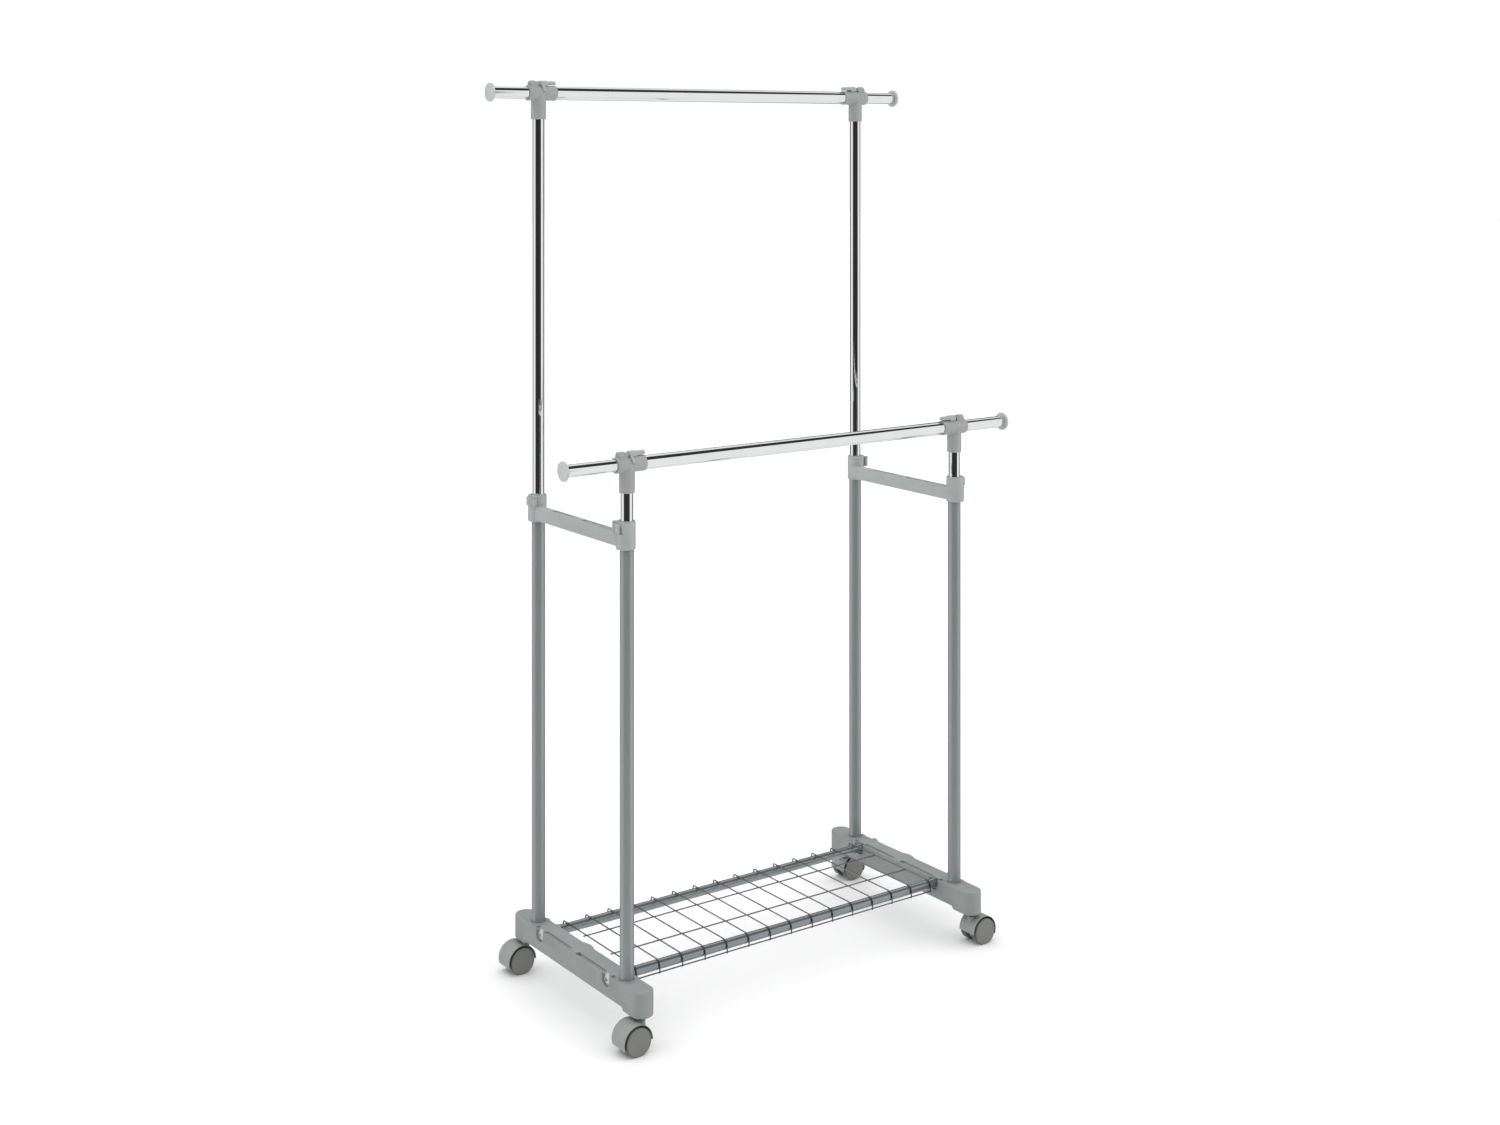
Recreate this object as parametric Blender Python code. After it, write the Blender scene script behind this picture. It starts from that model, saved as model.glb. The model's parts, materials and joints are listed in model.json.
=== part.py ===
"""Rolling clothes rack: two moulded feet on twin-wheel casters, a wire shoe shelf between them, four
telescoping uprights joined by crossbars, and two hanging rails, the rear one high and the front one low.
Metres, +Z up, origin on the floor at the middle of the rack; +Y is the back, +X the right."""

from math import atan2, cos, pi, radians, sin

import bmesh
import bpy
from mathutils import Matrix, Vector

for old in list(bpy.data.objects):
    bpy.data.objects.remove(old)

# Driving sizes of the whole rack.
SPAN_X = 0.765  # between the left and right uprights
SPAN_Y = 0.3125  # between the front and back uprights
REAR_RAIL_Z = 1.6645
FRONT_RAIL_Z = 1.0075
COLLAR_TOP = 0.909  # where the telescoping tubes leave the lower ones
FRONT_REACH = 0.131  # upright axis to the outer face of a front rail's cap
REAR_REACH = 0.105

# Fits.
GAP = 0.0003  # between pieces that slide, turn or are pressed together
SIDES = 16  # facets round a tube
BOLT_SIDES = 12

# Tubes.
TUBE_R = 0.0125  # lower uprights and the two main rails
TUBE_WALL = 0.0012
SLIM_R = TUBE_R - TUBE_WALL - GAP  # the tubes that telescope inside them
SLIM_WALL = 0.001
REAR_TUBE_LOW = COLLAR_TOP - 0.0501  # lower ends of the upper tubes
FRONT_TUBE_LOW = 0.2019
EXTENSION_LENGTH = 0.370
LOWER_TUBE_DROP = 0.006  # lower tube's top below its collar's top

# Casters. They set how high the feet stand.
WHEEL_R = 0.025
WHEEL_SIDES = 20  # each wheel stands on one of its facets
WHEEL_IN = 0.0075
WHEEL_OUT = 0.0225
AXLE_R = 0.003
HOOD_WALL = 0.0024
HOOD_R = WHEEL_R + 0.0016 + HOOD_WALL  # its inside clears the treads
HOOD_HALF = 0.0210
HOOD_START = -4  # degrees from level, on the stem's side
HOOD_TURN = 206
WEB_HALF = 0.005
TRAIL = WHEEL_R * 0.76
STEM_R = 0.004
STEM_LOW = WHEEL_R + 0.005
STEM_TOP_R = 0.0055
STEM_DEPTH = 0.030
NECK_R = 0.0072
NECK_TOP = WHEEL_R + HOOD_R - 0.001
BOSS_LOW = NECK_TOP + 0.0072  # underside of the foot's boss over each caster

# Feet.
FOOT_W = 0.041
FOOT_H = 0.038
FOOT_STEP = 0.0033  # the caster bosses reach this much lower
FOOT_LOW = BOSS_LOW + FOOT_STEP
FOOT_TOP = FOOT_LOW + FOOT_H
OVERHANG = 0.0475  # upright axis to caster axis
STEP_REACH = 0.0315  # caster axis to the inner end of its boss
SIDE_BOSS_R = 0.0105  # round boss beside each upright, on the right
SIDE_BOSS_X = 0.0135
SOCKET_RISE = 0.0015
SOCKET_R = TUBE_R + 0.004
SOCKET_DEPTH = 0.030
FOOT_WALL = 0.003
GROOVE_W = 0.0085
GROOVE_DEPTH = 0.010
RIB_BACK = 0.016  # the rib that parts the groove, from the foot's middle
RIB_FRONT = 0.009
POCKET_W = 0.008
POCKET_DEPTH = 0.004  # below the groove
NOTCH_R = 0.0125
NOTCH_DEPTH = 0.0065
TAB_Y = 0.006
TAB_W = 0.034
TAB_OUT = 0.0042
BELLY_MARGIN = 0.034  # from a shelf tube's axis to the hollow under the foot

# Shelf.
SHELF_INSET = 0.039  # from an upright's axis in to its shelf tube
SHELF_TUBE_R = 0.009
SHELF_TUBE_Z = FOOT_TOP - 0.006
SHELF_PLUG = 0.020
SHELF_RING_R = 0.0104  # flange of the plug in each end
SHELF_RING_W = 0.0045
SHELF_SEAT_R = 0.0110
SHELF_SEAT_OUT = 0.002
SCREW_R = 0.0028
SCREW_HEAD_R = 0.0098
SCREW_HEAD_H = 0.0032
WASHER_R = 0.0110
WASHER_H = 0.0013
WIRE_R = 0.00125
WIRE_SIDES = 5
CROSS_WIRES = 15
GRID_MARGIN = 0.0381  # from an upright's axis in to the last cross wire
CROSS_PITCH = (SPAN_X - 2 * GRID_MARGIN) / (CROSS_WIRES - 1)
LONG_WIRE_Y = 0.048  # from the shelf's middle line
LONG_WIRE_END = 0.005  # beyond the last cross wire
HOOK_DROP = 0.0128  # tube axis down to the end of a front hook
HOOK_WIRE_DROP = 0.0110
CURL_START = 0.0085  # tube axis back to where a cross wire's back end bends down
CURL_R = 0.0035
CURL_DROP = 0.002

# Crossbars and their collars.
COLLAR_H = 0.0495
COLLAR_R = TUBE_R + 0.005
COLLAR_SHIFT = 0.0025  # collars are thicker outwards
BAR_LOW = 0.8635
BAR_HIGH = 0.889
BAR_LEFT = -TUBE_R - 0.0021  # both bars stand to the left of their uprights' axis
BAR_RIGHT = 0.001
BAR_RECESS = 0.0025
COLLAR_LEVER_LOW = 0.8903
COLLAR_LEVER_HIGH = 0.9057
LEVER_WALL = 0.0026
LEVER_PIN_R = 0.0015
LUG_H = 0.0022
LUG_R = 0.0034
LEVER_PIN_ANGLE = 48  # degrees from outwards, towards the bar
LEVER_TIP_ANGLE = 24  # degrees from outwards, away from the bar
PAD_R = 0.0072
PAD_TURN = 18  # degrees round the collar from the pin to the pad

# Tees that carry the rails.
TEE_DROP = 0.0495  # rail axis down to the socket's mouth
TEE_SOCKET_R = TUBE_R + 0.0015
TEE_SLEEVE_R = TUBE_R + 0.0017
TEE_OUT = 0.025
TEE_IN = 0.035
TEE_STOP = 0.0017  # inner end of the narrow bore, against the main rail
CLAMP_TOP = TEE_SLEEVE_R + 0.0093
CLAMP_R = 0.0078
CLAMP_OUT = 0.020
CLAMP_IN = 0.0085
CAM_U = -0.0042
CAM_Z = TEE_SLEEVE_R + 0.0036
CAM_R = 0.0030
CAM_PIN_R = 0.0018
EAR_IN = 0.0055
EAR_R = 0.0040
HOLLOW_R = 0.0058  # inside a tee's lever
LEVER_ROOM = 0.0021  # in from the ears to the lever's shell, so that it lifts clear
SKIRT_R = TEE_SLEEVE_R + 0.0026
SKIRT_END = 0.0087
SKIRT_LOW = 0.003
SKIRT_TURN = 70  # degrees from level to where it meets the lever

# End caps.
CAP_R = TUBE_R + 0.005
CAP_H = 0.0045
CAP_PLUG = 0.016

HALF_X = SPAN_X / 2
HALF_Y = SPAN_Y / 2
CORNERS = {"fl": (-1, -1), "fr": (1, -1), "bl": (-1, 1), "br": (1, 1)}


def material(name, colour, roughness, metallic):
    made = bpy.data.materials.new(name)
    made.use_nodes = True
    shader = made.node_tree.nodes["Principled BSDF"]
    shader.inputs["Base Color"].default_value = (*colour, 1)
    shader.inputs["Roughness"].default_value = roughness
    shader.inputs["Metallic"].default_value = metallic
    return made


PLASTIC = ((0.29, 0.31, 0.31), 0.45, 0.0)
PALE = ((0.47, 0.50, 0.50), 0.45, 0.0)
DARK = ((0.13, 0.13, 0.13), 0.5, 0.0)
PAINT = ((0.29, 0.32, 0.32), 0.35, 0.3)
CHROME = ((0.85, 0.86, 0.87), 0.08, 1.0)
STEEL = ((0.35, 0.36, 0.37), 0.3, 1.0)


def circle(radius, count, centre=(0, 0), start=0.0, sweep=360.0):
    """Points of an arc; a full circle leaves out its last point."""
    steps = count if sweep == 360 else count - 1
    angles = [radians(start + sweep * i / steps) for i in range(count)]
    return [(centre[0] + radius * cos(a), centre[1] + radius * sin(a)) for a in angles]


def finish(data):
    """(points, faces) as a closed mesh whose faces look out."""
    mesh = bpy.data.meshes.new("shape")
    mesh.from_pydata(*[list(data[0]), [], list(data[1])])
    work = bmesh.new()
    work.from_mesh(mesh)
    bmesh.ops.recalc_face_normals(work, faces=work.faces)
    work.to_mesh(mesh)
    work.free()
    mesh.shade_smooth()
    mesh.set_sharp_from_angle(angle=radians(35))
    return mesh


def prism(outline, low, high):
    """An outline in XY, from low to high."""
    count = len(outline)
    points = [(x, y, z) for z in (low, high) for x, y in outline]
    faces = [(i, (i + 1) % count, (i + 1) % count + count, i + count) for i in range(count)]
    return points, faces + [tuple(range(count))[::-1], tuple(range(count, 2 * count))]


def box(low, high):
    (x0, y0, z0), (x1, y1, z1) = low, high
    return prism([(x0, y0), (x1, y0), (x1, y1), (x0, y1)], z0, z1)


def turned(profile, count=SIDES):
    """A closed profile of (radius, height) turned about Z; a radius of 0 closes on the axis."""
    points, rings = [], []
    for radius, height in profile:
        if radius == 0:
            rings.append([len(points)] * count)
            points.append((0, 0, height))
            continue
        rings.append(list(range(len(points), len(points) + count)))
        points += [(x, y, height) for x, y in circle(radius, count)]
    faces = []
    for one, two in zip(rings, rings[1:] + rings[:1]):
        for i in range(count):
            j = (i + 1) % count
            corners = list(dict.fromkeys((one[i], one[j], two[j], two[i])))
            if len(corners) > 2:
                faces.append(tuple(corners))
    return points, faces


def rod(radius, low, high, count=SIDES):
    return turned([(0, low), (radius, low), (radius, high), (0, high)], count)


def pipe(radius, bore, low, high, count=SIDES):
    return turned([(bore, low), (radius, low), (radius, high), (bore, high)], count)


def stepped(first, low, middle, second, high):
    """A rod of one radius up to the middle and another above it."""
    return turned([(0, low), (first, low), (first, middle), (second, middle), (second, high), (0, high)])


def wire(path, radius=WIRE_R, count=WIRE_SIDES):
    """A round wire along a path that stays in one plane across X, or runs straight."""
    path = [Vector(point) for point in path]
    points = []
    for i, point in enumerate(path):
        before = (point - path[max(i - 1, 0)]).normalized()
        after = (path[min(i + 1, len(path) - 1)] - point).normalized()
        along = (before + after).normalized()
        across = Vector((1, 0, 0)) if abs(along.x) < 0.5 else Vector((0, 1, 0))
        up = along.cross(across)
        reach = radius / max(along.dot(after if i == 0 else before), 0.5)
        for a, b in circle(1, count, start=180 / count):
            points.append(point + across * a * radius + up * b * reach)
    last = len(path) - 1
    faces = []
    for k in range(last):
        for i in range(count):
            j = (i + 1) % count
            faces.append((k * count + i, k * count + j, (k + 1) * count + j, (k + 1) * count + i))
    faces += [tuple(range(count)), tuple(range(last * count, (last + 1) * count))]
    return points, faces


def moved(data, matrix):
    return [matrix @ Vector(point) for point in data[0]], data[1]


def shifted(data, x=0.0, y=0.0, z=0.0):
    return moved(data, Matrix.Translation((x, y, z)))


def along_x(data):
    """Turns a shape made about Z to lie along X."""
    return moved(data, Matrix.Rotation(pi / 2, 4, "Y"))


def along_y(data):
    """Turns a shape drawn in XY and raised along Z, so that it is drawn in XZ and raised along Y."""
    return moved(data, Matrix(((1, 0, 0, 0), (0, 0, 1, 0), (0, 1, 0, 0), (0, 0, 0, 1))))


def along_yz(data):
    """Turns a shape drawn in XY and raised along Z, so that it is drawn in YZ and raised along X."""
    return moved(data, Matrix(((0, 0, 1, 0), (1, 0, 0, 0), (0, 1, 0, 0), (0, 0, 0, 1))))


def together(*shapes):
    """Several apart shapes as one mesh."""
    points, faces = [], []
    for shape in shapes:
        start = len(points)
        points += list(shape[0])
        faces += [tuple(i + start for i in face) for face in shape[1]]
    return points, faces


def piece(name, data, look, at=(0, 0, 0), turn=0.0, add=(), cut=()):
    """A named object at a place, with shapes in its own frame joined on and then cut away."""
    made = bpy.data.objects.new(name, finish(data))
    bpy.context.collection.objects.link(made)
    made.location = at
    made.rotation_euler.z = turn
    made.data.materials.append(material(name, *look))
    for operation, shapes in (("UNION", add), ("DIFFERENCE", cut)):
        for i, shape in enumerate(shapes):
            tool = bpy.data.objects.new(f"{name}.{operation.lower()}{i}", finish(shape))
            bpy.context.collection.objects.link(tool)
            tool.location = at
            tool.rotation_euler.z = turn
            tool.hide_render = True
            tool.display_type = "WIRE"
            change = made.modifiers.new(tool.name, "BOOLEAN")
            change.operation = operation
            change.solver = "EXACT"
            change.object = tool
    return made


def stadium(half_width, reach, count=7):
    """A long outline in XY with round ends about (0, -reach) and (0, reach)."""
    front = circle(half_width, count, (0, -reach), 180, 180)
    back = circle(half_width, count, (0, reach), 0, 180)
    return front + back


def foot(name, x):
    """Both feet are one moulding, with its groove and screw notches on the left and its tab on the right."""
    half = FOOT_W / 2
    reach = HALF_Y + OVERHANG
    shelf_y = HALF_Y - SHELF_INSET
    groove_x = -half + FOOT_WALL
    floor = FOOT_TOP - GROOVE_DEPTH
    add, cut = [], []
    for s in (-1, 1):
        inner = [(a, b if b * s > 0 else -s * STEP_REACH) for a, b in stadium(half, 0)]
        outline = [p for i, p in enumerate(inner) if p not in inner[:i]]
        corners = sorted(outline, key=lambda p: atan2(p[1], p[0]))
        add.append(shifted(prism(corners, BOSS_LOW, FOOT_LOW + 0.002), y=s * reach))
        ring = rod(SOCKET_R, FOOT_TOP - 0.004, FOOT_TOP + SOCKET_RISE, 20)
        add.append(shifted(ring, y=s * HALF_Y))
        side = rod(SIDE_BOSS_R, FOOT_LOW + 0.001, FOOT_TOP - 0.001)
        add.append(shifted(side, SIDE_BOSS_X, s * HALF_Y))
        seat = along_x(rod(SHELF_SEAT_R, half - 0.003, half + SHELF_SEAT_OUT))
        add.append(shifted(seat, y=s * shelf_y, z=SHELF_TUBE_Z))
        low = FOOT_TOP - SOCKET_DEPTH
        cut.append(shifted(rod(TUBE_R + GAP, low, FOOT_TOP + 0.01), y=s * HALF_Y))
        cut.append(shifted(rod(STEM_TOP_R + GAP, 0, BOSS_LOW + STEM_DEPTH + GAP, BOLT_SIDES), y=s * reach))
        shaft = along_x(rod(SCREW_R + GAP, -half - 0.01, half + 0.01, BOLT_SIDES))
        cut.append(shifted(shaft, y=s * shelf_y, z=SHELF_TUBE_Z))
        notch = circle(NOTCH_R, 9, (s * shelf_y, SHELF_TUBE_Z), 180, 180)
        notch += [(s * shelf_y + NOTCH_R, FOOT_TOP + 0.02), (s * shelf_y - NOTCH_R, FOOT_TOP + 0.02)]
        cut.append(along_yz(prism(notch, -half - 0.01, -half + NOTCH_DEPTH)))
        near = RIB_BACK if s > 0 else RIB_FRONT
        runs = ((near, shelf_y - NOTCH_R + 0.001), (shelf_y + NOTCH_R - 0.001, HALF_Y - SOCKET_R - 0.002))
        for run in runs:
            start, end = sorted(s * y for y in run)
            cut.append(box((groove_x, start, floor), (groove_x + GROOVE_W, end, FOOT_TOP + 0.01)))
    pocket = (groove_x - 0.0005, -RIB_FRONT - POCKET_W, floor - POCKET_DEPTH)
    cut.append(box(pocket, (groove_x + GROOVE_W + 0.0005, -RIB_FRONT + 0.0005, FOOT_TOP + 0.011)))
    rise = [(half + TAB_OUT * sin(pi * i / 6), TAB_Y + TAB_W * (i / 6 - 0.5)) for i in range(1, 6)]
    tab = [(half - 0.004, TAB_Y - TAB_W / 2), (half, TAB_Y - TAB_W / 2), *rise]
    tab += [(half, TAB_Y + TAB_W / 2), (half - 0.004, TAB_Y + TAB_W / 2)]
    add.append(prism(tab, FOOT_TOP - 0.006, FOOT_TOP))
    belly = shelf_y - BELLY_MARGIN
    low = (-half + FOOT_WALL, -belly, FOOT_LOW - 0.01)
    cut.append(box(low, (half - FOOT_WALL, belly, floor - POCKET_DEPTH - FOOT_WALL)))
    body = prism(stadium(half, reach), FOOT_LOW, FOOT_TOP)
    piece(name, body, PLASTIC, (x, 0, 0), 0, add, cut)


def shelf():
    left = -HALF_X + FOOT_W / 2 + SHELF_SEAT_OUT + GAP
    right = HALF_X - FOOT_W / 2 + NOTCH_DEPTH - GAP
    bore = SHELF_TUBE_R - TUBE_WALL
    shank = SCREW_R + GAP
    flanges = (left + SHELF_RING_W, right - SHELF_RING_W)
    outside = [(SHELF_RING_R, left), (SHELF_RING_R, flanges[0]), (SHELF_TUBE_R, flanges[0])]
    outside += [(SHELF_TUBE_R, flanges[1]), (SHELF_RING_R, flanges[1])]
    outside += [(SHELF_RING_R, right), (shank, right)]
    inside = [(shank, right - SHELF_PLUG), (bore, right - SHELF_PLUG), (bore, left + SHELF_PLUG)]
    tube = [(shank, left), *outside, *inside, (shank, left + SHELF_PLUG)]
    shelf_y = HALF_Y - SHELF_INSET
    for name, s in (("front", -1), ("back", 1)):
        at = (0, s * shelf_y, SHELF_TUBE_Z)
        piece(f"shelf_tube_{name}", along_x(turned(tube)), STEEL, at)
    seats = {-1: HALF_X + FOOT_W / 2 - NOTCH_DEPTH, 1: HALF_X + FOOT_W / 2 + SHELF_SEAT_OUT}
    ends = {-1: -left - SHELF_PLUG + 0.004, 1: right - SHELF_PLUG + 0.004}
    for name, (sx, sy) in CORNERS.items():
        seat = seats[sx] + GAP
        top = seat + WASHER_H
        crown = top + SCREW_HEAD_H
        profile = [(0, ends[sx]), (SCREW_R, ends[sx]), (SCREW_R, seat), (WASHER_R, seat), (WASHER_R, top)]
        profile += [(SCREW_HEAD_R, top), (SCREW_HEAD_R * 0.92, top + SCREW_HEAD_H * 0.5)]
        profile += [(SCREW_HEAD_R * 0.65, crown - 0.0004), (0, crown)]
        arm = SCREW_HEAD_R * 0.42
        slot = box((-arm, -0.0009, crown - 0.0022), (arm, 0.0009, crown + 0.001))
        slots = [slot, moved(slot, Matrix.Rotation(pi / 2, 4, "Z"))]
        outwards = Matrix.Rotation(sx * pi / 2, 4, "Y")
        slots = [moved(shape, outwards) for shape in slots]
        at = (0, sy * shelf_y, SHELF_TUBE_Z)
        piece(f"shelf_screw_{name}", moved(turned(profile, BOLT_SIDES), outwards), CHROME, at, cut=slots)
    reach = SHELF_TUBE_R + WIRE_R + GAP
    path = [(0, -shelf_y - reach, -HOOK_DROP)]
    for y, z in circle(reach, 4, (0, 0), 180, -90):
        path.append((0, y - shelf_y, z))
    for y, z in circle(CURL_R, 3, (shelf_y + CURL_START, reach - CURL_R), 90, -90):
        path.append((0, y, z))
    path.append((0, shelf_y + CURL_START + CURL_R, -CURL_DROP))
    first = -CROSS_PITCH * (CROSS_WIRES - 1) / 2
    crosses = [shifted(wire(path), x=first + i * CROSS_PITCH) for i in range(CROSS_WIRES)]
    length = -first + LONG_WIRE_END
    weld = WIRE_R * 1.6
    longs = [(s * LONG_WIRE_Y, reach - weld) for s in (-1, 1)]
    longs.append((-shelf_y - reach + weld, -HOOK_WIRE_DROP))
    runs = [wire([(-length, y, z), (length, y, z)]) for y, z in longs]
    at = (0, 0, SHELF_TUBE_Z)
    piece("shelf_grid", together(*crosses), STEEL, at, add=[together(*runs)])


def uprights():
    base = FOOT_TOP - SOCKET_DEPTH + GAP
    top = COLLAR_TOP - LOWER_TUBE_DROP - GAP
    for name, (sx, sy) in CORNERS.items():
        at = (sx * HALF_X, sy * HALF_Y, 0)
        piece(f"lower_upright_{name}", pipe(TUBE_R, TUBE_R - TUBE_WALL, base, top), PAINT, at)
        rail_z = FRONT_RAIL_Z if sy < 0 else REAR_RAIL_Z
        low = FRONT_TUBE_LOW if sy < 0 else REAR_TUBE_LOW
        high = -(TUBE_R + GAP) - 0.0025 - GAP
        slim = pipe(SLIM_R, SLIM_R - SLIM_WALL, low - rail_z, high)
        piece(f"upper_tube_{name}", slim, CHROME, (*at[:2], rail_z))


def lever_pin(sx, sy):
    """The pin of a collar's lever, from the collar's own centre."""
    angle = radians(LEVER_PIN_ANGLE)
    reach = COLLAR_R + GAP + LUG_R
    return sx * reach * cos(angle), -sy * reach * sin(angle)


def crossbar(name, sx):
    """One moulding: a flat bar and the two collars that it joins."""
    bar = box((BAR_LEFT, -HALF_Y, BAR_LOW), (BAR_RIGHT, HALF_Y, BAR_HIGH))
    add, cut = [], []
    low = COLLAR_TOP - COLLAR_H
    for sy in (-1, 1):
        centre = (sx * COLLAR_SHIFT, sy * HALF_Y)
        add.append(shifted(rod(COLLAR_R, low, COLLAR_TOP, 20), *centre))
        pin_x, pin_y = lever_pin(sx, sy)
        angle = atan2(pin_y, pin_x)
        reach = (pin_x**2 + pin_y**2) ** 0.5
        outline = [(reach * 0.5, LUG_R), (reach * 0.5, -LUG_R)]
        outline += circle(LUG_R, 5, (reach, 0), -90, 180)
        pins = (COLLAR_LEVER_LOW - GAP - LUG_H, COLLAR_LEVER_HIGH + GAP)
        for start in pins:
            lug = moved(prism(outline, start, start + LUG_H), Matrix.Rotation(angle, 4, "Z"))
            add.append(shifted(lug, *centre))
        hole = rod(LEVER_PIN_R + GAP, pins[0] - GAP, pins[1] + LUG_H + 0.01, BOLT_SIDES)
        cut.append(shifted(hole, centre[0] + pin_x, centre[1] + pin_y))
        step = COLLAR_TOP - LOWER_TUBE_DROP
        bore = stepped(TUBE_R + GAP, low - 0.01, step, SLIM_R + GAP, COLLAR_TOP + 0.01)
        cut.append(shifted(bore, y=sy * HALF_Y))
    for s in (-1, 1):
        start, end = sorted((s * 0.018, s * 0.088))
        top = BAR_HIGH + 0.01
        recess = box((BAR_LEFT + 0.003, start, BAR_HIGH - BAR_RECESS), (BAR_RIGHT - 0.003, end, top))
        cut.append(recess)
    piece(name, bar, PALE, (sx * HALF_X, 0, 0), 0, add, cut)


def collar_lever(name, sx, sy):
    """A curved flip lever on a collar, turning about an upright pin at its end beside the bar."""
    pin_x, pin_y = lever_pin(sx, sy)
    inner = COLLAR_R + GAP
    outer = inner + LEVER_WALL
    sweep = LEVER_PIN_ANGLE - 9 + LEVER_TIP_ANGLE
    spread = [LEVER_PIN_ANGLE - 9 - sweep * i / 6 for i in range(7)]
    arc = [radians(angle) for angle in spread]
    ring = [(sx * outer * cos(a), -sy * outer * sin(a)) for a in arc]
    ring += [(sx * inner * cos(a), -sy * inner * sin(a)) for a in reversed(arc)]
    shell = prism(ring, COLLAR_LEVER_LOW, COLLAR_LEVER_HIGH)
    barrel = shifted(rod(LUG_R, COLLAR_LEVER_LOW, COLLAR_LEVER_HIGH), pin_x, pin_y)
    pin_low = COLLAR_LEVER_LOW - LUG_H + GAP
    pin = shifted(rod(LEVER_PIN_R, pin_low, COLLAR_LEVER_HIGH + LUG_H, BOLT_SIDES), pin_x, pin_y)
    angle = radians(LEVER_PIN_ANGLE - PAD_TURN)
    pad = along_x(rod(PAD_R, inner + 0.0008, outer + 0.0014))
    pad = moved(pad, Matrix.Rotation(atan2(-sy * sin(angle), sx * cos(angle)), 4, "Z"))
    pad = shifted(pad, z=(COLLAR_LEVER_LOW + COLLAR_LEVER_HIGH) / 2)
    back = Matrix.Translation((-pin_x, -pin_y, 0))
    parts = [moved(part, back) for part in (barrel, pin, pad)]
    at = (sx * (HALF_X + COLLAR_SHIFT) + pin_x, sy * HALF_Y + pin_y, 0)
    piece(name, moved(shell, back), PALE, at, add=parts)


def tee(name, sx, sy):
    """In its own frame X points inwards along the rail and the origin is on the rail over the upright."""
    rail_z = FRONT_RAIL_Z if sy < 0 else REAR_RAIL_Z
    at = (sx * HALF_X, sy * HALF_Y, rail_z)
    turn = 0.0 if sx < 0 else pi
    socket = rod(TEE_SOCKET_R, -TEE_DROP, 0)
    sleeve = along_x(rod(TEE_SLEEVE_R, -TEE_OUT, TEE_IN))
    arch = [(-CLAMP_R, 0.004), (CLAMP_R, 0.004)]
    arch += circle(CLAMP_R, 7, (0, CLAMP_TOP - CLAMP_R), 0, 180)
    clamp = along_yz(prism(arch, -CLAMP_OUT, -CLAMP_IN))
    add = [sleeve, clamp]
    for s in (-1, 1):
        ear = circle(EAR_R, 7, (CAM_U, CAM_Z), -90, 180)
        ear += [(-CLAMP_IN - 0.001, CAM_Z + EAR_R), (-CLAMP_IN - 0.001, 0.008), (CAM_U, 0.008)]
        start, end = sorted((s * EAR_IN, s * CLAMP_R))
        add.append(along_y(prism(ear, start, end)))
    roof = -(TUBE_R + GAP) - 0.0025
    cut = [rod(SLIM_R + GAP, -TEE_DROP - 0.01, roof)]
    cut.append(along_x(stepped(SLIM_R + GAP, -TEE_OUT - 0.01, TEE_STOP, TUBE_R + GAP, TEE_IN + 0.01)))
    hole = along_y(rod(CAM_PIN_R + GAP, -0.02, 0.02, BOLT_SIDES))
    cut.append(shifted(hole, CAM_U, 0, CAM_Z))
    piece(name, socket, PLASTIC, at, turn, add, cut)


def tee_lever(name, sx, sy):
    """The cam lever lying inwards on its tee. Its own origin is on its pin."""
    rail_z = FRONT_RAIL_Z if sy < 0 else REAR_RAIL_Z
    turn = 0.0 if sx < 0 else pi
    start = EAR_R + LEVER_ROOM
    end = TEE_IN - CAM_U + 0.0005
    shell_low = TEE_SLEEVE_R + GAP - CAM_Z
    side_low = shell_low - 0.0012
    centre = CLAMP_TOP - CLAMP_R - CAM_Z
    arch = [(-CLAMP_R, side_low), (CLAMP_R, side_low)] + circle(CLAMP_R, 9, (0, centre), 0, 180)
    hollow = [(-HOLLOW_R, side_low - 0.01), (HOLLOW_R, side_low - 0.01)]
    hollow += circle(HOLLOW_R, 7, (0, centre), 0, 180)
    shell = along_yz(prism(arch, start, end))
    barrel = along_y(rod(CAM_R, -EAR_IN + GAP, EAR_IN - GAP))
    pin = along_y(rod(CAM_PIN_R, -CLAMP_R, CLAMP_R, BOLT_SIDES))
    neck = box((0, 0.001 - EAR_IN, 0.0003 - CAM_R), (start + 0.003, EAR_IN - 0.001, CAM_R - 0.0003))
    inner = TEE_SLEEVE_R + GAP
    low = atan2(SKIRT_LOW, SKIRT_R)
    angles = [pi - low - (radians(SKIRT_TURN) - low) * i / 5 for i in range(6)]
    skirt = [(SKIRT_R * cos(a), SKIRT_R * sin(a) - CAM_Z) for a in angles]
    deep = inner - 0.002
    skirt += [(deep * cos(a), deep * sin(a) - CAM_Z) for a in reversed(angles)]
    skirt = along_yz(prism(skirt, start + 0.0005, SKIRT_END - CAM_U))
    cut = [along_yz(prism(hollow, start + 0.006, end + 0.01))]
    cut.append(shifted(along_x(rod(inner, -0.02, 0.06)), z=-CAM_Z))
    u = CAM_U if sx < 0 else -CAM_U
    at = (sx * HALF_X + u, sy * HALF_Y, rail_z + CAM_Z)
    piece(name, shell, PALE, at, turn, [barrel, pin, neck, skirt], cut)


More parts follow.
